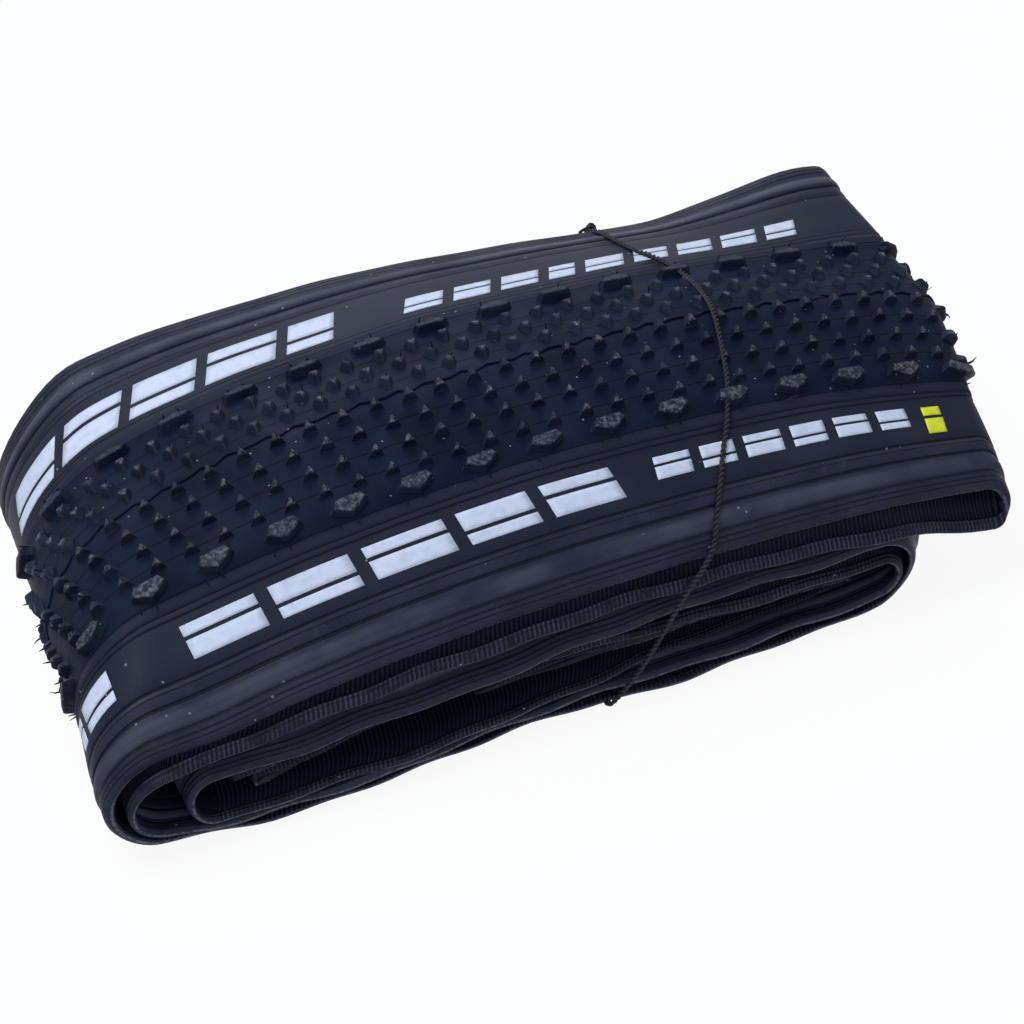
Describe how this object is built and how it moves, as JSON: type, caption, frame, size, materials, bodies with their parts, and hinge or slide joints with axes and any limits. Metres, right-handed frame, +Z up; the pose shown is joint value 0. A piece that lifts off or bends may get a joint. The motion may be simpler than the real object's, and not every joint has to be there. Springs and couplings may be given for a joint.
{
  "type": "bicycle tire",
  "caption": "Folding-bead bicycle tyre, pressed flat, folded into a short bundle tread side out and tied with a thin cord.",
  "frame": {"origin": "centre of the bundle's footprint, on the surface it rests on", "axes": "+X along the bundle towards the tip of the top fold, +Y across the tyre towards its far bead, +Z up"},
  "size_m": [0.2, 0.0818, 0.0485],
  "materials": {
    "tread_rubber": "matte moulded rubber",
    "sidewall_rubber": "satin rubber skin",
    "chafer_rubber": "satin woven chafer",
    "ply_fabric": "ribbed rubbered fabric",
    "breaker_fabric": "close weave",
    "bead_aramid": "aramid bundle",
    "cord_fibre": "twisted cord",
    "label_pale": "printed film, satin",
    "label_yellow": "printed film, satin"
  },
  "bodies": {
    "root": {"tread_cap": "tread_rubber", "sidewall_near": "sidewall_rubber", "sidewall_far": "sidewall_rubber", "chafer_near": "chafer_rubber", "chafer_far": "chafer_rubber", "carcass_ply_outer": "ply_fabric", "carcass_ply_inner": "ply_fabric", "puncture_breaker": "breaker_fabric", "bead_core_near": "bead_aramid", "bead_core_far": "bead_aramid", "tie_cord": "cord_fibre", "tie_knot": "cord_fibre", "label_near_main": "label_pale", "label_near_second": "label_pale", "size_mark_near": "label_yellow", "label_far_main": "label_pale", "label_far_second": "label_pale"}
  },
  "joints": []
}
